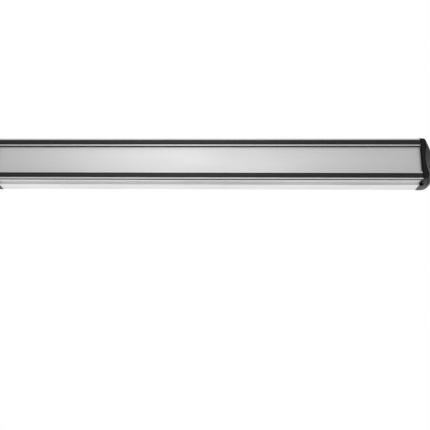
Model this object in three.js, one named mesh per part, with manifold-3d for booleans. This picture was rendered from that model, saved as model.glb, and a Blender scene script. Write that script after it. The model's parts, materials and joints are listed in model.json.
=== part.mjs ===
// Magnetic knife rack for a wall: an extruded aluminium profile holds two black steel pole rails with
// a row of ferrite magnets between them, behind a brushed face panel. A moulded cap pegs into each end
// and two keyhole hangers slide in the track on the back.
//
// Millimetres. X runs along the rack, +Y points into the wall, +Z is up. The origin is the middle of
// the wall plane. Everything hangs in one group that starts at the plane of the front lips, so in it
// Y is the depth behind the lips, and depth DEPTH is the wall. Sections are lists of [depth, height].
import * as THREE from "three";
import { mergeVertices } from "three/addons/utils/BufferGeometryUtils.js";
import Module from "manifold-3d";

const wasm = await Module();
wasm.setup();

// ---- driving dimensions ----
const PROFILE_LENGTH = 349;
const DEPTH = 18.4; // front lips to the wall
const GAP = 0.3; // between pieces that touch
const EDGE = 0.15; // small chamfer on the extrusions' visible edges
const OVERCUT = 2; // how far a cutting body runs past what it cuts

const RAIL = { low: 12.4, high: 15.95, proud: 0.8, back: 8.2, edgeRadius: 0.35 };
const WEB = { front: RAIL.back + GAP, back: 10.2 };
const SIDE_WALL = { inside: RAIL.high + EDGE, outside: 17.3 };
const LIP_GROOVE = { front: 0.6, back: 3.7, deep: 0.45 };
const FLANGE = { step: 8.6, stepTop: 19.85, wallTop: 21, thickness: 1.3, footDepth: 1.2, footLow: 17.8 };
const TRACK = { inside: 11.2, outside: 12.4, lipLow: 9.8, frontLip: 13.9, slotFront: 15.1, slotBack: 17.2 };
const PANEL = { face: 1.8, back: 2.75, ribLow: 11.05, ribHigh: 12.25, grooveLow: 10.82, grooveDepth: 0.6 };
const MAGNET = { count: 12, length: 25, pitch: 29, half: 12.1, front: 2.95, back: 8.2, chamfer: 0.6 };
const HANGER = {
  spacing: 280,
  length: 32,
  half: 10.9,
  front: 15.4,
  back: 16.9,
  earDepth: 2.4,
  earHalf: 9.3,
  earThickness: 1.5,
  entryRadius: 4.6,
  entryZ: -3.4,
  slotRadius: 2.4,
  slotZ: 4.2,
};
const CAP = {
  front: -1.4, // stands proud of the lips
  band: 4.4, // reach of the front face past the profile, before the scallop
  bandCorner: 1.6, // and right at its top and bottom
  bulge: 15, // reach at the wall, at mid height
  foot: 1.75, // reach at the wall, right at the corners
  edge: 0.4, // rounding of the front edge
  wall: 1.8,
  hollowFront: 4, // the hollow runs from this depth to the wall
  rib: 1.6,
  ribBack: 16.4,
};
// A finger scallop in the cap's side: its reach at the front and at the wall, and its radius.
const SCALLOP = { front: 2.5, wall: 15.2, radius: 40 };
const CAP_STEP = { reach: 2.1, low: 17.45, front: 5 }; // the profile's step runs on into the cap
const PEG = { length: 13, low: 12.75, high: 17.6, front: 10.7, back: 16.7 };
const CRUSH_RIB = { starts: [12.1, 14.5], width: 0.8, height: 0.15, length: 10 };

// ---- materials ----
const material = (color, roughness, metalness) =>
  new THREE.MeshStandardMaterial({ color, roughness, metalness });
const ALUMINIUM = material(0xcfd0d2, 0.35, 1);
const BRUSHED_FACE = material(0xc4c6c8, 0.4, 1);
const BLACK_STEEL = material(0x2c2c2e, 0.45, 0.6);
const FERRITE = material(0x3a3836, 0.8, 0.1);
const BLACK_PLASTIC = material(0x161617, 0.3, 0);
const ZINC = material(0xb9bcc0, 0.4, 1);

// ---- helpers ----

// An outline of [depth, height] points for z >= 0, joined to its mirror image below.
const mirrored = (upper) => [...upper, ...upper.map(([depth, z]) => [depth, -z]).reverse()];

const outline = (points) => new THREE.Shape(points.map(([depth, z]) => new THREE.Vector2(depth, z)));

// A shape drawn in depth and height, drawn out along X, its length centred on 0.
function alongX(shape, length) {
  const geometry = new THREE.ExtrudeGeometry(shape, { depth: length, bevelEnabled: false, curveSegments: 6 });
  const turn = new THREE.Matrix4().makeBasis(
    new THREE.Vector3(0, 1, 0),
    new THREE.Vector3(0, 0, 1),
    new THREE.Vector3(1, 0, 0),
  );
  return geometry.applyMatrix4(turn).translate(-length / 2, 0, 0);
}

// A box between two corners given as [x, depth, z].
function box([x0, y0, z0], [x1, y1, z1]) {
  const geometry = new THREE.BoxGeometry(x1 - x0, y1 - y0, z1 - z0);
  return geometry.translate((x0 + x1) / 2, (y0 + y1) / 2, (z0 + z1) / 2);
}

// A closed skin through rings of [x, depth, z] points. The rings run anticlockwise as seen from the
// front, have equal counts and flat ends, and go from the front to the back.
function loft(rings) {
  const count = rings[0].length;
  const index = [];
  for (let r = 0; r + 1 < rings.length; r++)
    for (let i = 0; i < count; i++) {
      const a = r * count + i;
      const b = r * count + ((i + 1) % count);
      index.push(a, a + count, b, b, a + count, b + count);
    }
  const faces = (ring) => {
    const flat = ring.map(([x, , z]) => new THREE.Vector2(x, z));
    return THREE.ShapeUtils.triangulateShape(flat, []);
  };
  const last = (rings.length - 1) * count;
  for (const [a, b, c] of faces(rings[0])) index.push(a, b, c);
  for (const [a, b, c] of faces(rings.at(-1))) index.push(last + c, last + b, last + a);
  const geometry = new THREE.BufferGeometry();
  geometry.setAttribute("position", new THREE.Float32BufferAttribute(rings.flat(2), 3));
  return geometry.setIndex(index);
}

function solid(geometry) {
  const bare = geometry.clone().deleteAttribute("normal").deleteAttribute("uv");
  const merged = mergeVertices(bare, 1e-4);
  return new wasm.Manifold(
    new wasm.Mesh({
      numProp: 3,
      vertProperties: merged.attributes.position.array,
      triVerts: new Uint32Array(merged.index.array),
    }),
  );
}

function geometryOf(manifold) {
  const mesh = manifold.getMesh();
  const geometry = new THREE.BufferGeometry();
  geometry.setAttribute("position", new THREE.BufferAttribute(mesh.vertProperties, 3));
  return geometry.setIndex(new THREE.BufferAttribute(mesh.triVerts, 1));
}

const rack = new THREE.Group();
const behindLips = new THREE.Group();
behindLips.position.y = -DEPTH;
rack.add(behindLips);

function add(name, geometry, look, x = 0, z = 0) {
  const mesh = new THREE.Mesh(geometry, look);
  mesh.name = name;
  mesh.position.set(x, 0, z);
  behindLips.add(mesh);
}

// ---- extruded aluminium profile ----
const foot = DEPTH - FLANGE.footDepth;
const flangeSlope = (FLANGE.wallTop - FLANGE.stepTop) / (DEPTH - FLANGE.step);
const flangeInside = (depth) => FLANGE.stepTop + flangeSlope * (depth - FLANGE.step) - FLANGE.thickness;
const grooveFloor = SIDE_WALL.outside - LIP_GROOVE.deep;
const profileSection = mirrored([
  [WEB.front, SIDE_WALL.inside],
  [0, SIDE_WALL.inside],
  [0, SIDE_WALL.outside - EDGE],
  [EDGE, SIDE_WALL.outside],
  [LIP_GROOVE.front, SIDE_WALL.outside],
  [LIP_GROOVE.front, grooveFloor],
  [LIP_GROOVE.back, grooveFloor],
  [LIP_GROOVE.back, SIDE_WALL.outside],
  [FLANGE.step, SIDE_WALL.outside],
  [FLANGE.step, FLANGE.stepTop],
  [DEPTH, FLANGE.wallTop],
  [DEPTH, FLANGE.footLow],
  [foot, FLANGE.footLow],
  [foot, flangeInside(foot)],
  [WEB.back, flangeInside(WEB.back)],
  [WEB.back, TRACK.outside],
  [DEPTH, TRACK.outside],
  [DEPTH, TRACK.lipLow],
  [TRACK.slotBack, TRACK.lipLow],
  [TRACK.slotBack, TRACK.inside],
  [TRACK.slotFront, TRACK.inside],
  [TRACK.slotFront, TRACK.lipLow],
  [TRACK.frontLip, TRACK.lipLow],
  [TRACK.frontLip, TRACK.inside],
  [WEB.back, TRACK.inside],
]);
add("aluminium_profile", alongX(outline(profileSection), PROFILE_LENGTH), ALUMINIUM);

// ---- face panel: a tray whose two ribs stand up beside the rails ----
const panelSection = mirrored([
  [PANEL.face, PANEL.grooveLow],
  [PANEL.face + PANEL.grooveDepth, PANEL.grooveLow],
  [PANEL.face + PANEL.grooveDepth, PANEL.ribLow],
  [EDGE, PANEL.ribLow],
  [0, PANEL.ribLow + EDGE],
  [0, PANEL.ribHigh - EDGE],
  [EDGE, PANEL.ribHigh],
  [PANEL.back, PANEL.ribHigh],
]);
add("face_panel", alongX(outline(panelSection), PROFILE_LENGTH), BRUSHED_FACE);

// ---- steel pole rails: flat bars on edge, front edges rounded ----
function railShape() {
  const { proud, back, edgeRadius: r } = RAIL;
  const half = (RAIL.high - RAIL.low) / 2;
  const shape = new THREE.Shape();
  shape.moveTo(back, -half);
  shape.lineTo(back, half);
  shape.absarc(r - proud, half - r, r, Math.PI / 2, Math.PI, false);
  shape.absarc(r - proud, r - half, r, Math.PI, 1.5 * Math.PI, false);
  shape.lineTo(back, -half);
  return shape;
}
const railMiddle = (RAIL.low + RAIL.high) / 2;
add("upper_pole_rail", alongX(railShape(), PROFILE_LENGTH), BLACK_STEEL, 0, railMiddle);
add("lower_pole_rail", alongX(railShape(), PROFILE_LENGTH), BLACK_STEEL, 0, -railMiddle);

// ---- ferrite magnets between the rails ----
const magnetSection = mirrored([
  [MAGNET.front, MAGNET.half - MAGNET.chamfer],
  [MAGNET.front + MAGNET.chamfer, MAGNET.half],
  [MAGNET.back - MAGNET.chamfer, MAGNET.half],
  [MAGNET.back, MAGNET.half - MAGNET.chamfer],
]);
for (let i = 0; i < MAGNET.count; i++) {
  const x = (i - (MAGNET.count - 1) / 2) * MAGNET.pitch;
  add(`magnet_${i + 1}`, alongX(outline(magnetSection), MAGNET.length), FERRITE, x);
}

// ---- end caps: drawn for the right-hand end, with x = 0 at the end of the profile ----

// Half height of the cap at a depth: a little outside the profile, with its step filled in.
const CAP_HEIGHTS = [
  [CAP.front, 16.3],
  [-0.9, 17.1],
  [0.2, 17.65],
  [2, 18.35],
  [4, 18.95],
  [FLANGE.step, 20.25],
  [DEPTH, 21.37],
];
function capHalfHeight(depth) {
  const after = Math.max(CAP_HEIGHTS.findIndex(([d]) => d >= depth), 1);
  const [d0, h0] = CAP_HEIGHTS[after - 1];
  const [d1, h1] = CAP_HEIGHTS[after];
  return h0 + ((h1 - h0) * (depth - d0)) / (d1 - d0);
}

// How far the cap reaches past the end of the profile, at a depth and a height z: a flat front band that
// swells to a D-shaped foot at the wall, with the scallop cut into its side.
function capReach(depth, z) {
  const s = Math.min(Math.abs(z) / capHalfHeight(depth), 1);
  const t = (DEPTH - depth) / (DEPTH - CAP.front); // 0 at the wall, 1 at the front
  const atFront = CAP.bandCorner + (CAP.band - CAP.bandCorner) * (1 - s ** 10) ** 0.4;
  const atWall = CAP.foot + (CAP.bulge - CAP.foot) * (1 - s ** 2.3) ** 0.4;
  const side = atWall + (atFront - atWall) * t ** 1.55;
  const scallop = SCALLOP.wall + (SCALLOP.front - SCALLOP.wall) * t ** 1.15 + z ** 2 / (2 * SCALLOP.radius);
  const rounding = depth < 0 ? CAP.edge * (depth / CAP.front) ** 2 : 0;
  return Math.min(side, scallop) - rounding;
}

// One closed outline of the cap at a depth, drawn in by an inset and kept below a ceiling.
function capRing(depth, left, inset = 0, ceiling = Infinity) {
  const steps = 28;
  const half = Math.min(capHalfHeight(depth) - inset, ceiling);
  const side = Array.from({ length: steps + 1 }, (_, i) => {
    const z = -half * Math.cos((Math.PI * i) / steps);
    return [Math.max(capReach(depth, z) - inset, CAP.wall + 0.2), depth, z];
  });
  return [[left, depth, half], [left, depth, -half], ...side];
}

function capHollow() {
  const ceiling = CAP_STEP.low - CAP.wall;
  const depths = [CAP.hollowFront, 6, FLANGE.step, 12, 15, DEPTH];
  const rings = depths.map((depth) => capRing(depth, CAP.wall, CAP.wall, ceiling));
  rings.push(rings.at(-1).map(([x, depth, z]) => [x, depth + OVERCUT, z]));
  const rib = box([0, 0, -CAP.rib / 2], [CAP.bulge + OVERCUT, CAP.ribBack, CAP.rib / 2]);
  return solid(loft(rings)).subtract(solid(rib));
}

// A box on one side of the middle, from x0 to x1, from depth y0 to y1 and between two heights.
function sideBox(side, x0, x1, y0, y1, low, high) {
  const [z0, z1] = side > 0 ? [low, high] : [-high, -low];
  return solid(box([x0, y0, z0], [x1, y1, z1]));
}

function endCap() {
  const depths = [CAP.front, -1.2, -0.9, -0.5, 0.2, 2, 4, 6, FLANGE.step, 12, 15, DEPTH];
  let cap = solid(loft(depths.map((depth) => capRing(depth, GAP / 2)))).subtract(capHollow());
  const root = CAP.wall / 2; // the pegs start inside the cap's wall
  for (const side of [1, -1]) {
    const { reach, front, low: stepLow } = CAP_STEP;
    const step = sideBox(side, -OVERCUT, reach, front, FLANGE.step, stepLow, FLANGE.wallTop);
    const peg = sideBox(side, -PEG.length, root, PEG.front, PEG.back, PEG.low, PEG.high);
    cap = cap.subtract(step).add(peg);
    const [low, high] = [PEG.low - CRUSH_RIB.height, PEG.high + CRUSH_RIB.height];
    for (const start of CRUSH_RIB.starts)
      cap = cap.add(sideBox(side, -CRUSH_RIB.length, root, start, start + CRUSH_RIB.width, low, high));
  }
  return cap;
}
const rightCap = endCap();
const capEnd = PROFILE_LENGTH / 2;
add("right_end_cap", geometryOf(rightCap), BLACK_PLASTIC, capEnd);
add("left_end_cap", geometryOf(rightCap.mirror([1, 0, 0])), BLACK_PLASTIC, -capEnd);

// ---- keyhole hangers: pressed steel plates with folded ears, held behind the track's lips ----
function keyhole() {
  const { front, back, entryRadius, entryZ, slotRadius, slotZ } = HANGER;
  const shape = new THREE.Shape();
  const meet = Math.asin(slotRadius / entryRadius);
  shape.absarc(0, entryZ, entryRadius, Math.PI / 2 + meet, 2.5 * Math.PI - meet, false);
  shape.absarc(0, slotZ, slotRadius, 0, Math.PI, false);
  const depth = back - front + 2 * OVERCUT;
  const geometry = new THREE.ExtrudeGeometry(shape, { depth, bevelEnabled: false, curveSegments: 18 });
  return geometry.rotateX(Math.PI / 2).translate(0, back + OVERCUT, 0);
}
function hanger() {
  const { length, half, front, back, earDepth, earHalf, earThickness } = HANGER;
  let plate = solid(box([-length / 2, front, -half], [length / 2, back, half]));
  for (const x of [-length / 2, length / 2 - earThickness]) {
    const ear = box([x, front - earDepth, -earHalf], [x + earThickness, front + 0.5, earHalf]);
    plate = plate.add(solid(ear));
  }
  return geometryOf(plate.subtract(solid(keyhole())));
}
add("left_hanger", hanger(), ZINC, -HANGER.spacing / 2);
add("right_hanger", hanger(), ZINC, HANGER.spacing / 2);

export default rack;
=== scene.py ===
"""Magnetic knife rack, seen from slightly below on a white studio set.

Metres, in the CAD's frame: X along the rack, +Y into the wall, +Z up. The wall plane is Y = 0.
Shapes are drawn in millimetres. A depth is measured back from the front lips, and a height from
the middle of the rack.
"""

import json
import math

import bmesh
import bpy
from mathutils import Matrix, Vector

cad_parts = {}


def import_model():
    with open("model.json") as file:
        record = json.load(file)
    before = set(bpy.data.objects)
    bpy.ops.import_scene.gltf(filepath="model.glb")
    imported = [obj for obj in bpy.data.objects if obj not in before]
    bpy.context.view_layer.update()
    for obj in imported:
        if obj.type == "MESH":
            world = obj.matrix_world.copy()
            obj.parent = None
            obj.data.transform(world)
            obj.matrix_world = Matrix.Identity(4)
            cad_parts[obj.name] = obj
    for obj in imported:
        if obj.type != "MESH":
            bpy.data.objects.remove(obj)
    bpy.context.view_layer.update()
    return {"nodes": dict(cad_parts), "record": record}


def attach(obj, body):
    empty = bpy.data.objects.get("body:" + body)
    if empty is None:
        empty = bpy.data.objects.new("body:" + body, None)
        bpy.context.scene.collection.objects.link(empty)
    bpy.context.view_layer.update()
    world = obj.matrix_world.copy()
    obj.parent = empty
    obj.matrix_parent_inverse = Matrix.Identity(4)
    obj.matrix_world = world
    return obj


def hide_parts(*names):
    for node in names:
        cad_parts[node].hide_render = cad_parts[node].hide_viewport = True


MM = 0.001
MIX_COLOURS = (6, 7)  # a Mix node's colour inputs, by number because others share their names
MIX_RESULT = 2

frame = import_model()
nodes = frame["nodes"]
scene = bpy.context.scene


# ---- material helpers ----


class Tree:
    """A node tree being filled, with short names for what is done most."""

    def __init__(self, tree):
        self.tree = tree

    def node(self, kind, **settings):
        """A new node. A setting is one of its properties, or else the value of an input."""
        made = self.tree.nodes.new(kind)
        for key, value in settings.items():
            if hasattr(made, key):
                setattr(made, key, value)
            else:
                made.inputs[key.replace("_", " ")].default_value = value
        return made

    def link(self, source, target):
        self.tree.links.new(source, target)

    def spread(self, value, low, high, start=0.3, end=0.7, interpolation="LINEAR"):
        """A value between start and end, where most noise lies, spread over low to high."""
        made = self.node(
            "ShaderNodeMapRange",
            interpolation_type=interpolation,
            From_Min=start,
            From_Max=end,
            To_Min=low,
            To_Max=high,
        )
        self.link(value, made.inputs["Value"])
        return made.outputs["Result"]


class Shader(Tree):
    """A Principled material being built."""

    def __init__(self, name, **inputs):
        self.material = bpy.data.materials.new(name)
        self.material.use_nodes = True
        super().__init__(self.material.node_tree)
        self.bsdf = self.tree.nodes["Principled BSDF"]
        for key, value in inputs.items():
            self.bsdf.inputs[key.replace("_", " ")].default_value = value

    def stretched(self, scale):
        """Object coordinates, scaled per axis."""
        where = self.node("ShaderNodeTexCoord")
        mapping = self.node("ShaderNodeMapping", Scale=scale)
        self.link(where.outputs["Object"], mapping.inputs["Vector"])
        return mapping.outputs["Vector"]

    def noise(self, scale, detail=3.0, rough=0.5):
        """Noise whose grain has this many waves a metre along each axis."""
        made = self.node("ShaderNodeTexNoise", Scale=1.0, Detail=detail, Roughness=rough)
        self.link(self.stretched(scale), made.inputs["Vector"])
        return made.outputs["Fac"]

    def colour(self, value, first, second, start=0.3, end=0.7):
        """Base colour going from first to second as the value goes from start to end."""
        made = self.node("ShaderNodeMix", data_type="RGBA")
        self.link(self.spread(value, 0, 1, start, end), made.inputs["Factor"])
        for number, ends in zip(MIX_COLOURS, (first, second)):
            made.inputs[number].default_value = ends
        self.link(made.outputs[MIX_RESULT], self.bsdf.inputs["Base Color"])

    def roughness(self, value, low, high, start=0.3, end=0.7):
        """Roughness going from low to high as the value goes from start to end."""
        self.link(self.spread(value, low, high, start, end), self.bsdf.inputs["Roughness"])

    def bump(self, height, strength, distance):
        """Fine relief, its distance in millimetres."""
        made = self.node("ShaderNodeBump", Strength=strength, Distance=distance * MM)
        self.link(height, made.inputs["Height"])
        self.link(made.outputs["Normal"], self.bsdf.inputs["Normal"])


def grey(value, warm=0.0):
    """A grey, a little redder where warm is above 0 and bluer where it is below."""
    return (value * (1 + warm), value, value * (1 - warm), 1.0)


# ---- materials ----


def extruded_aluminium():
    """Satin anodised extrusion with faint die lines along its length."""
    made = Shader("extruded_aluminium", Metallic=1.0)
    lines = made.noise((3, 2600, 2600), detail=2.0)
    cloud = made.noise((14, 60, 60), detail=4.0)
    made.colour(cloud, grey(0.73), grey(0.81))
    made.roughness(lines, 0.5, 0.6)
    made.bump(lines, 0.18, 0.02)
    return made.material


def brushed_face():
    """Brushed face panel: fine grain along the length over a slow drift in sheen."""
    made = Shader("brushed_face", Metallic=1.0)
    grain = made.noise((22, 9000, 5200), rough=0.6)
    cloud = made.noise((9, 40, 40))
    made.colour(grain, grey(0.69), grey(0.73))
    made.roughness(cloud, 0.38, 0.46)
    made.bump(grain, 0.13, 0.012)
    return made.material


def black_steel():
    """Black-coated steel rail, its sheen and shade broken up by rubs along its face."""
    made = Shader("black_steel", IOR=1.4)
    grain = made.noise((160, 2500, 2500))
    rubs = made.noise((900, 220, 60), detail=4.0, rough=0.65)
    made.colour(rubs, grey(0.01), grey(0.022), start=0.55, end=0.75)
    made.roughness(rubs, 0.3, 0.42)
    made.bump(grain, 0.2, 0.02)
    return made.material


def ferrite():
    """Sintered ferrite: dark grey, dull, with a gritty ground surface."""
    made = Shader("ferrite")
    grit = made.noise((1800, 1800, 1800), detail=5.0, rough=0.7)
    made.colour(grit, grey(0.035, 0.03), grey(0.07, 0.04))
    made.roughness(grit, 0.6, 0.85)
    made.bump(grit, 0.4, 0.05)
    return made.material


def black_plastic():
    """Glossy moulded plastic with a trace of orange peel."""
    made = Shader("black_plastic", IOR=1.5, Specular_IOR_Level=0.25, Base_Color=grey(0.004))
    peel = made.noise((260, 260, 260), detail=2.0)
    fine = made.noise((1500, 1500, 1500))
    made.roughness(fine, 0.16, 0.24)
    made.bump(peel, 0.12, 0.05)
    return made.material


def black_texture():
    """The same plastic where the mould was spark-eroded to a dull grain."""
    made = Shader("black_texture", Specular_IOR_Level=0.12, Base_Color=grey(0.006))
    grain = made.noise((4200, 4200, 4200), detail=4.0, rough=0.6)
    made.roughness(grain, 0.7, 0.9)
    made.bump(grain, 0.5, 0.03)
    return made.material


def zinc_plate():
    """Bright zinc plating over pressed steel, with a faint spangle."""
    made = Shader("zinc_plate", Metallic=1.0)
    cells = made.node("ShaderNodeTexVoronoi", Scale=260.0)
    made.link(made.stretched((1, 1, 1)), cells.inputs["Vector"])
    spangle = cells.outputs["Color"]
    made.colour(spangle, grey(0.52), grey(0.64, -0.02), start=0, end=1)
    made.roughness(spangle, 0.3, 0.44, start=0, end=1)
    made.bump(made.noise((1200, 1200, 1200)), 0.2, 0.02)
    return made.material


def painted_shade_groove():
    """Painted shade for the grooves: near-black and dull, a little patchy, laid where shadow falls.
    """
    made = Shader("painted_shade_groove")
    shade_noise = made.noise((90, 900, 900), detail=4.0)
    made.colour(shade_noise, grey(0.006), grey(0.02))
    made.roughness(shade_noise, 0.6, 0.8)
    return made.material


LOOKS = {
    "extruded_aluminium": extruded_aluminium(),
    "brushed_face": brushed_face(),
    "black_steel": black_steel(),
    "ferrite": ferrite(),
    "black_plastic": black_plastic(),
    "black_texture": black_texture(),
    "zinc_plate": zinc_plate(),
    "painted_shade_groove": painted_shade_groove(),
}

for part in frame["record"]["subparts"]:
    slots = nodes[part["node"]].data.materials
    slots.clear()
    slots.append(LOOKS[part["material_slot"]])


# ---- shape helpers ----

LENGTH = 349.0  # the profile, without its caps
HALF = LENGTH / 2
DEPTH = 18.4  # the profile, from its front lips to the wall
STEP = 8.6  # depth at which the flanges step out
CREASE = 30  # an edge that turns by more degrees than this is kept crisp
STRAIGHT = math.radians(160)  # a corner wider than this is not rounded
CORNER_ROOM = 0.4  # share of an edge that rounding may use at each end
GROOVE_ROUNDING = 0.3  # share of the rounding kept beside a marked edge


def finish_mesh(obj, crease=CREASE):
    """Smooth shading, with creases kept crisp."""
    mesh = obj.data
    mesh.polygons.foreach_set("use_smooth", [True] * len(mesh.polygons))
    mesh.set_sharp_from_angle(angle=math.radians(crease))
    mesh.update()


def new_piece(name, points, faces, looks, body=None):
    """A mesh object from (x, depth, height) points, its faces turned outwards."""
    mesh = bpy.data.meshes.new(name)
    places = [(MM * x, MM * (depth - DEPTH), MM * height) for x, depth, height in points]
    mesh.from_pydata(places, [], faces)
    build = bmesh.new()
    build.from_mesh(mesh)
    bmesh.ops.recalc_face_normals(build, faces=build.faces)
    build.to_mesh(mesh)
    build.free()
    for look in looks:
        mesh.materials.append(LOOKS[look])
    made = bpy.data.objects.new(name, mesh)
    scene.collection.objects.link(made)
    if body:
        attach(made, body)
    return made


def loft(name, rings, looks, body=None):
    """A closed surface through rings that all have the same number of points."""
    count = len(rings[0])
    points = [point for ring in rings for point in ring]
    faces = []
    for start in range(0, len(points) - count, count):
        for i in range(count):
            after = (i + 1) % count
            faces.append((start + i, start + after, start + count + after, start + count + i))
    faces += [tuple(range(count)), tuple(range(len(points) - 1, len(points) - count - 1, -1))]
    return new_piece(name, points, faces, looks, body)


def prism(name, outline, start, end, looks, body=None):
    """A (depth, height) outline drawn out along X."""
    rings = [[(x, depth, height) for depth, height, *_ in outline] for x in (start, end)]
    return loft(name, rings, looks, body)


def extrusion(name, outline, looks, body):
    """A prism the length of the profile. A point's third value is the look of the edge after it."""
    made = prism(name, outline, -HALF, HALF, looks, body)
    for face, (_, _, *mark) in zip(made.data.polygons, outline):
        face.material_index = mark[0] if mark else 0
    finish_mesh(made)
    return made


def rounded(points, radius, arc=3):
    """The outline with each corner rounded, by as much as its edges have room for."""
    out = []
    for i, (depth, height, *mark) in enumerate(points):
        here = Vector((depth, height))
        before = Vector(points[i - 1][:2]) - here
        after = Vector(points[(i + 1) % len(points)][:2]) - here
        mark_before = points[i - 1][2:]
        turn = before.angle(after)
        if (mark and mark_before) or turn > STRAIGHT:
            out.append((depth, height, *mark))
            continue
        wanted = radius * (GROOVE_ROUNDING if mark or mark_before else 1.0) / math.tan(turn / 2)
        reach = min(wanted, before.length * CORNER_ROOM, after.length * CORNER_ROOM)
        start = here + before.normalized() * reach
        end = here + after.normalized() * reach
        for k in range(arc + 1):
            t = k / arc
            spot = start * (1 - t) ** 2 + here * 2 * t * (1 - t) + end * t**2
            out.append((spot.x, spot.y, *(mark if k == arc else ())))
    return out


def mirrored(upper):
    """An outline for heights above 0, joined to its mirror image. Marks stay on the same edges."""
    below = []
    for i in range(len(upper) - 1, -1, -1):
        depth, height = upper[i][:2]
        mark = upper[i - 1][2:] if i else ()
        below.append((depth, -height, *mark))
    return upper + below


# ---- profile, panel and rails: upper halves of their outlines, as (depth, height) ----

profile_outline = mirrored(
    [
        # front of the web, wall beside the rail, front lip
        (8.5, 16.1),
        (0, 16.1),
        (0, 17.3),
        # groove behind the lip
        (0.6, 17.3, 1),
        (0.6, 16.85, 1),
        (3.7, 16.85, 1),
        (3.7, 17.3),
        # stepped flange, outside and then inside
        (STEP, 17.3),
        (STEP, 19.85),
        (DEPTH, 21),
        (DEPTH, 17.8),
        (17.2, 17.8),
        (17.2, 19.56),
        (10.2, 18.74),
        # rear track, with the slot that its hangers slide in
        (10.2, 12.4),
        (DEPTH, 12.4),
        (DEPTH, 9.8),
        (17.2, 9.8),
        (17.2, 11.2),
        (15.1, 11.2),
        (15.1, 9.8),
        (13.9, 9.8),
        (13.9, 11.2),
        (10.2, 11.2),
    ]
)
# The edges marked 1 take painted shade: a near-black look laid in the groove behind the lip.
PROFILE_LOOKS = ["extruded_aluminium", "painted_shade_groove"]
profile = extrusion("profile_extrusion", rounded(profile_outline, 0.18), PROFILE_LOOKS, "rack")
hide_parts("aluminium_profile")

panel_outline = mirrored(
    [
        # sunken face and the groove inside the rib
        (1.8, 10.82, 1),
        (2.4, 10.82, 1),
        (2.4, 11.05, 1),
        # bright rib beside the rail
        (0, 11.05),
        (0, 12.25),
        (2.75, 12.25),
    ]
)
# The edges marked 1 take painted shade: a near-black look laid in the groove inside the rib.
PANEL_LOOKS = ["brushed_face", "painted_shade_groove"]
panel = extrusion("panel_tray", rounded(panel_outline, 0.12), PANEL_LOOKS, "rack")
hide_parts("face_panel")

RAIL_DEPTHS = (-0.8, 8.2)
RAIL_HEIGHTS = (12.4, 15.95)

for name, side in (("upper_pole_rail", 1), ("lower_pole_rail", -1)):
    front, back = RAIL_DEPTHS
    inner, outer = (side * height for height in RAIL_HEIGHTS)
    bar = [(front, inner), (front, outer), (back, outer), (back, inner)]
    rail_name = name.replace("_pole", "_steel")
    rail = extrusion(rail_name, rounded(bar, 0.35, arc=6), ["black_steel"], "rack")
    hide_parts(name)


# ---- hangers: the CAD plates with their edges broken ----

BROKEN_EDGE = 0.3
BROKEN_ANGLE = 40  # degrees that an edge turns by before it is broken

for side in ("left", "right"):
    node = nodes[f"{side}_hanger"]
    plate = bpy.data.objects.new(f"{side}_hanger_plate", node.data.copy())
    scene.collection.objects.link(plate)
    finish_mesh(plate)
    edges = plate.modifiers.new("broken_edges", "BEVEL")
    edges.width = BROKEN_EDGE * MM
    edges.segments = 3
    edges.limit_method = "ANGLE"
    edges.angle_limit = math.radians(BROKEN_ANGLE)
    edges.harden_normals = True
    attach(plate, f"{side}_hanger")
    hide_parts(f"{side}_hanger")


# ---- end caps: a reach is how far something stands past the end of the profile ----

PLASTIC = ["black_plastic"]
CAP_FRONT = -1.4  # depth of its front face
CAP_HEIGHTS = (  # (depth, half height)
    (CAP_FRONT, 16.9),
    (0.2, 17.65),
    (2, 18.35),
    (4, 18.95),
    (STEP, 20.25),
    (DEPTH, 21.35),
)
CAP_GAP = 0.15  # to the end of the profile
CAP_WALL = 1.8
CAP_ROUNDING = 0.6  # radius along the outer front edge
CAP_INNER_ROUNDING = 0.25  # radius along the front edge beside the panel
CAP_CREASE = 14  # degrees
LEAST_WIDTH = 0.2

# Reach at the top and bottom, how much more it is at mid height, and how square it is between.
FRONT_SWELL = (1.6, 2.8, 10)
WALL_SWELL = (1.75, 13.23, 2.3)
SWELL_CURVE = 0.4
SIDE_CURVE = 1.55  # how the swell grows from the front to the wall

SCALLOP_AT_WALL = 15.2  # reach to which the scallop cuts the swell
SCALLOP_FALL = 12.7  # how much less it is at the front
SCALLOP_CURVE = 1.15
SCALLOP_RADIUS = 40  # of the scallop along the height

HOLLOW_FRONT = 4  # depth
HOLLOW_HALF = 15.65  # half height, which leaves the pegs a solid root
THROUGH = 1  # how far the hollow's tool runs out past the wall

# Blocks as their lowest and highest corner: reach, depth and height. Each pair but the web's is
# for the upper half, and is repeated below.
WEB = ((0, 3, -0.8), (20, DEPTH - 2, 0.8))
NOTCH = ((-1, 5, 17.45), (2.1, STEP, 27.45))
PEG = ((-13, 10.7, 12.75), (1, 16.7, 17.6))
PEG_RIBS = (((-10, 12.1, 12.6), (1, 12.9, 17.75)), ((-10, 14.5, 12.6), (1, 15.3, 17.75)))

LIP_LAP = 0.6  # over the end of the flange
LIP_ROOT = 0.3  # into the cap
LIP_INSET = 0.02  # below the surface of the cap
LIP_INNER = [(8.1, 17.5), (8.5, 17.5), (8.5, 19.95), (DEPTH, 21.1)]
LIP_DEPTHS = (DEPTH, 16, 13.5, 11, 9.5, STEP, 8.1)


def along(table, depth):
    """A smooth curve through the table's (depth, height) points, read at a depth."""

    def slope(i):
        low, high = table[max(i - 1, 0)], table[min(i + 1, len(table) - 1)]
        return (high[1] - low[1]) / (high[0] - low[0])

    for i, ((d0, h0), (d1, h1)) in enumerate(zip(table, table[1:])):
        if depth <= d1:
            t = (depth - d0) / (d1 - d0)
            leave = slope(i) * (d1 - d0)
            arrive = slope(i + 1) * (d1 - d0)
            blend = t * t * (3 - 2 * t)
            return h0 + (h1 - h0) * blend + leave * t * (1 - t) ** 2 - arrive * t * t * (1 - t)
    return table[-1][1]


def spaced(start, end, count):
    """Numbers from start to end in equal steps, without the start itself."""
    return [start + (end - start) * i / count for i in range(1, count + 1)]


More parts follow.
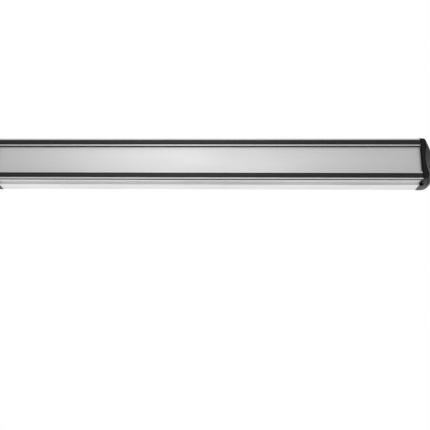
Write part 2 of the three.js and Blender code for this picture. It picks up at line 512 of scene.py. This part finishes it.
def edge_inset(depth, radius):
    """How far a quarter-round of this radius, on the front edge, draws an outline in."""
    past = radius - (depth - CAP_FRONT)
    return radius - math.sqrt(max(radius**2 - past**2, 0)) if past > 0 else 0.0


def swell(low, more, squareness, across):
    """Reach at a share of the half height: low at its end, and that much more in the middle."""
    return low + more * (1 - across**squareness) ** SWELL_CURVE


def cap_reach(depth, z):
    """Reach of the cap: a flat front band, a swelling side and a scallop cut into it."""
    across = min(abs(z) / along(CAP_HEIGHTS, depth), 1)
    forward = (DEPTH - depth) / (DEPTH - CAP_FRONT)
    at_front = swell(*FRONT_SWELL, across)
    at_wall = swell(*WALL_SWELL, across)
    side = at_wall + (at_front - at_wall) * forward**SIDE_CURVE
    scallop = SCALLOP_AT_WALL - SCALLOP_FALL * forward**SCALLOP_CURVE
    scallop += z * z / (2 * SCALLOP_RADIUS)
    return min(side, scallop)


def cap_ring(depth, inner_reach, inset, steps, ceiling=math.inf):
    """The cap's outline at one depth, drawn in by the inset and no taller than the ceiling."""
    half = min(along(CAP_HEIGHTS, depth) - inset, ceiling)
    ring = [(HALF + inner_reach, depth, half), (HALF + inner_reach, depth, -half)]
    for i in range(steps + 1):
        z = -half * math.cos(math.pi * i / steps)
        reach = max(cap_reach(depth, z) - inset, inner_reach + LEAST_WIDTH)
        ring.append((HALF + reach, depth, z))
    return ring


def block(low, high):
    """A block between two (reach, depth, height) corners."""
    corners = [
        (HALF + reach, depth, z)
        for reach in (low[0], high[0])
        for depth in (low[1], high[1])
        for z in (low[2], high[2])
    ]
    faces = [(0, 1, 3, 2), (4, 6, 7, 5), (0, 4, 5, 1), (2, 3, 7, 6), (0, 2, 6, 4), (1, 5, 7, 3)]
    return new_piece("block", corners, faces, PLASTIC)


def block_on(side, low, high):
    """The same for the upper half with side 1, and mirrored to the lower half with side -1."""
    bottom, top = sorted((side * low[2], side * high[2]))
    return block((*low[:2], bottom), (*high[:2], top))


def flange_lip(side):
    """A thin lip on the cap that laps over the end of the profile's stepped flange."""
    outer = [(depth, along(CAP_HEIGHTS, depth) - LIP_INSET) for depth in LIP_DEPTHS]
    outline = [(depth, side * height) for depth, height in LIP_INNER + outer]
    return prism("flange_lip", outline, HALF - LIP_LAP, HALF + LIP_ROOT, PLASTIC)


def combine(obj, other, operation):
    """Add the other object or take it away, and delete it."""
    step = obj.modifiers.new("combine", "BOOLEAN")
    step.object = other
    step.operation = operation
    step.solver = "EXACT"
    graph = bpy.context.evaluated_depsgraph_get()
    mesh = bpy.data.meshes.new_from_object(obj.evaluated_get(graph))
    obj.modifiers.clear()
    obj.data = mesh
    bpy.data.objects.remove(other)


def cap_shell():
    """The cap before it is hollowed, its rings closest together around the front edge."""
    angles = [math.radians(degrees) for degrees in range(0, 91, 15)]
    depths = [CAP_FRONT + CAP_ROUNDING * (1 - math.cos(angle)) for angle in angles]
    depths += [-0.5, -0.2, 0.2] + spaced(0.2, STEP, 14) + spaced(STEP, DEPTH, 16)
    rings = []
    for depth in depths:
        inner_reach = CAP_GAP + edge_inset(depth, CAP_INNER_ROUNDING)
        rings.append(cap_ring(depth, inner_reach, edge_inset(depth, CAP_ROUNDING), steps=72))
    return loft("end_cap", rings, PLASTIC)


def cap_hollow():
    """What is taken out of the cap, with a web left standing across the middle."""
    depths = [HOLLOW_FRONT] + spaced(HOLLOW_FRONT, DEPTH, 12)
    rings = [cap_ring(depth, CAP_WALL, CAP_WALL, 32, HOLLOW_HALF) for depth in depths]
    rings.append([(x, depth + THROUGH, z) for x, depth, z in rings[-1]])
    hollow = loft("hollow", rings, PLASTIC)
    combine(hollow, block(*WEB), "DIFFERENCE")
    return hollow


def end_cap():
    """The right cap: hollow, notched at the step, with two ribbed pegs and two lips."""
    cap = cap_shell()
    combine(cap, cap_hollow(), "DIFFERENCE")
    for side in (1, -1):
        combine(cap, block_on(side, *NOTCH), "DIFFERENCE")
        combine(cap, block_on(side, *PEG), "UNION")
        for rib in PEG_RIBS:
            combine(cap, block_on(side, *rib), "UNION")
        combine(cap, flange_lip(side), "UNION")
    return cap


# The faces that look at the profile are left dull from the mould.
right_cap = end_cap()
right_cap.data.materials.append(LOOKS["black_texture"])
for face in right_cap.data.polygons:
    if face.normal.x < -0.9:
        face.material_index = 1
finish_mesh(right_cap, CAP_CREASE)
right_cap.name = "right_cap_moulding"
flipped = right_cap.data.copy()
flipped.transform(Matrix.Scale(-1, 4, (1, 0, 0)))
flipped.flip_normals()
left_cap = bpy.data.objects.new("left_cap_moulding", flipped)
scene.collection.objects.link(left_cap)
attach(right_cap, "right_cap")
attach(left_cap, "left_cap")
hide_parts("right_end_cap")
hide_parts("left_end_cap")


# ---- camera ----

LENS = 45.2
CAMERA_PLACE = (0.0213, -0.437, -0.149)
YAW, PITCH, ROLL = 1.86, 13.6, -0.68  # degrees, on top of looking straight at the wall


def camera():
    data = bpy.data.cameras.new("camera")
    data.lens = LENS
    data.clip_start = 0.01
    made = bpy.data.objects.new("camera", data)
    scene.collection.objects.link(made)
    place = Matrix.Translation(CAMERA_PLACE)
    for angle, axis in ((YAW, "Z"), (PITCH, "X"), (ROLL, "Y"), (90, "X")):
        place = place @ Matrix.Rotation(math.radians(angle), 4, axis)
    made.matrix_world = place
    scene.camera = made


camera()


# ---- studio ----

WORLD_FRONT, WORLD_BACK = 0.85, 1.3  # brightness of what is in front of the rack and behind it
WORLD_SIDES = 0.27  # share of it that is left to either side
FLOOR_HALF = 1.0
FLOOR_HEIGHT = -0.6
FLOOR_GLOW = 0.5


def softbox(name, place, target, size, energy):
    """A rectangular light aimed at a target, out of the camera's sight."""
    data = bpy.data.lights.new(name, "AREA")
    data.shape = "RECTANGLE"
    data.size, data.size_y = size
    data.energy = energy
    made = bpy.data.objects.new(name, data)
    scene.collection.objects.link(made)
    aim = (Vector(target) - Vector(place)).to_track_quat("-Z", "Y")
    made.matrix_world = Matrix.Translation(place) @ aim.to_matrix().to_4x4()
    made.visible_camera = False


softbox("front_softbox", (-0.12, -1.2, 0.43), target=(0, 0, 0), size=(0.45, 0.8), energy=1.5)
for name, side in (("left_softbox", -1), ("right_softbox", 1)):
    place = (side * 1.1, -0.6, 0.9)
    softbox(name, place, target=(side * 0.18, 0, 0), size=(0.25, 0.7), energy=1.0)


def world():
    """Bright behind the rack, dimmer in front and dark to either side. The camera sees white."""
    made = bpy.data.worlds.new("studio")
    made.use_nodes = True
    made.node_tree.nodes.clear()
    tree = Tree(made.node_tree)
    where = tree.node("ShaderNodeTexCoord")
    split = tree.node("ShaderNodeSeparateXYZ")
    tree.link(where.outputs["Generated"], split.inputs[0])
    across = tree.node("ShaderNodeMath", operation="ABSOLUTE")
    tree.link(split.outputs["X"], across.inputs[0])
    sides = tree.spread(
        across.outputs[0], 1.0, WORLD_SIDES, start=0.35, end=0.65, interpolation="SMOOTHSTEP"
    )
    level = tree.spread(
        split.outputs["Y"], WORLD_FRONT, WORLD_BACK, start=-0.6, end=0.4, interpolation="SMOOTHSTEP"
    )
    total = tree.node("ShaderNodeMath", operation="MULTIPLY")
    tree.link(sides, total.inputs[0])
    tree.link(level, total.inputs[1])
    lit = tree.node("ShaderNodeBackground")
    tree.link(total.outputs[0], lit.inputs["Strength"])
    seen = tree.node("ShaderNodeBackground", Color=(1, 1, 1, 1))
    path = tree.node("ShaderNodeLightPath")
    mix = tree.node("ShaderNodeMixShader")
    tree.link(path.outputs["Is Camera Ray"], mix.inputs[0])
    tree.link(lit.outputs[0], mix.inputs[1])
    tree.link(seen.outputs[0], mix.inputs[2])
    out = tree.node("ShaderNodeOutputWorld")
    tree.link(mix.outputs[0], out.inputs[0])
    scene.world = made


world()


def floor():
    """A white floor that glows, which lights the rack from below."""
    mesh = bpy.data.meshes.new("floor")
    s = FLOOR_HALF
    mesh.from_pydata([(-s, -s, 0), (s, -s, 0), (s, s, 0), (-s, s, 0)], [], [(0, 1, 2, 3)])
    made = bpy.data.objects.new("floor", mesh)
    made.location.z = FLOOR_HEIGHT
    scene.collection.objects.link(made)
    look = Shader(
        "floor_white",
        Roughness=0.9,
        Base_Color=grey(0.9),
        Emission_Color=grey(1.0),
        Emission_Strength=FLOOR_GLOW,
    )
    mesh.materials.append(look.material)


floor()
scene.view_settings.view_transform = "Standard"
